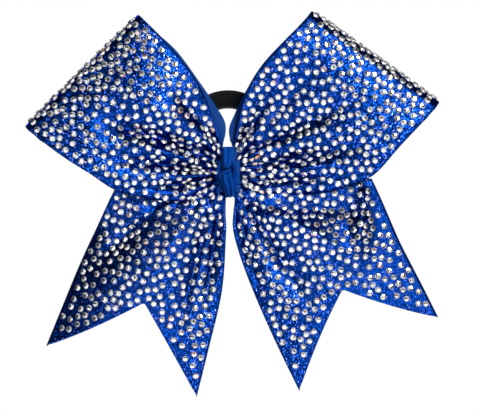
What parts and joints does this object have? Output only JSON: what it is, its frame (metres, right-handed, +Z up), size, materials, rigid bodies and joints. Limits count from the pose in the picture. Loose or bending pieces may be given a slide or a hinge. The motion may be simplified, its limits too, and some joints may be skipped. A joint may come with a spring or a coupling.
{
  "type": "cheer hair bow",
  "caption": "Large gathered ribbon hair bow with two folded loops, two notched tails, a knotted centre, stones all over its front and an elastic ring at the back.",
  "frame": {"origin": "middle of the flat back of the centre band, which lies on the hair", "axes": "+X to the wearer's left seen from the front, which is right in a front view, across both loops; +Y out of the back, towards the head; +Z up; the bow's front faces -Y"},
  "size_m": [0.2, 0.0346, 0.1867],
  "materials": {
    "backing_ribbon": "matte ribbed grosgrain",
    "glitter_face": "fine glitter",
    "stones": "faceted, foil backed",
    "centre_ribbon": "matte",
    "thread": "waxed",
    "hot_glue": "cloudy",
    "elastic": "knitted, matte"
  },
  "bodies": {
    "knot": {"centre_band": "centre_ribbon", "centre_knot": "centre_ribbon", "gathered_ribbon": "backing_ribbon", "cinch_thread": "thread", "glue_beads": "hot_glue"},
    "elastic": {"hair_elastic": "elastic"},
    "left_loop": {"left_loop_backing": "backing_ribbon", "left_loop_glitter": "glitter_face", "left_loop_stones": "stones"},
    "left_tail": {"left_tail_backing": "backing_ribbon", "left_tail_glitter": "glitter_face", "left_tail_stones": "stones"},
    "right_loop": {"right_loop_backing": "backing_ribbon", "right_loop_glitter": "glitter_face", "right_loop_stones": "stones"},
    "right_tail": {"right_tail_backing": "backing_ribbon", "right_tail_glitter": "glitter_face", "right_tail_stones": "stones"}
  },
  "joints": [
    {"name": "elastic_swing", "type": "hinge", "parent": "knot", "child": "elastic", "pos_m": [0, -0.0039, 0.0007], "axis": [-1, 0, 0], "range_deg": [0, 150]},
    {"name": "left_loop_flex", "type": "hinge", "parent": "knot", "child": "left_loop", "pos_m": [-0.006, -0.011, 0.002], "axis": [0, 0, 1], "range_deg": [-8, 25], "stiffness_Nm_per_rad": 0.02},
    {"name": "right_loop_flex", "type": "hinge", "parent": "knot", "child": "right_loop", "pos_m": [0.006, -0.011, 0.002], "axis": [0, 0, -1], "range_deg": [-8, 25], "stiffness_Nm_per_rad": 0.02},
    {"name": "left_tail_flex", "type": "hinge", "parent": "knot", "child": "left_tail", "pos_m": [-0.03, -0.011, -0.0094], "axis": [-1, 0, 0], "range_deg": [-20, 25], "stiffness_Nm_per_rad": 0.02},
    {"name": "right_tail_flex", "type": "hinge", "parent": "knot", "child": "right_tail", "pos_m": [0.035, -0.011, -0.0094], "axis": [-1, 0, 0], "range_deg": [-20, 25], "stiffness_Nm_per_rad": 0.02}
  ]
}
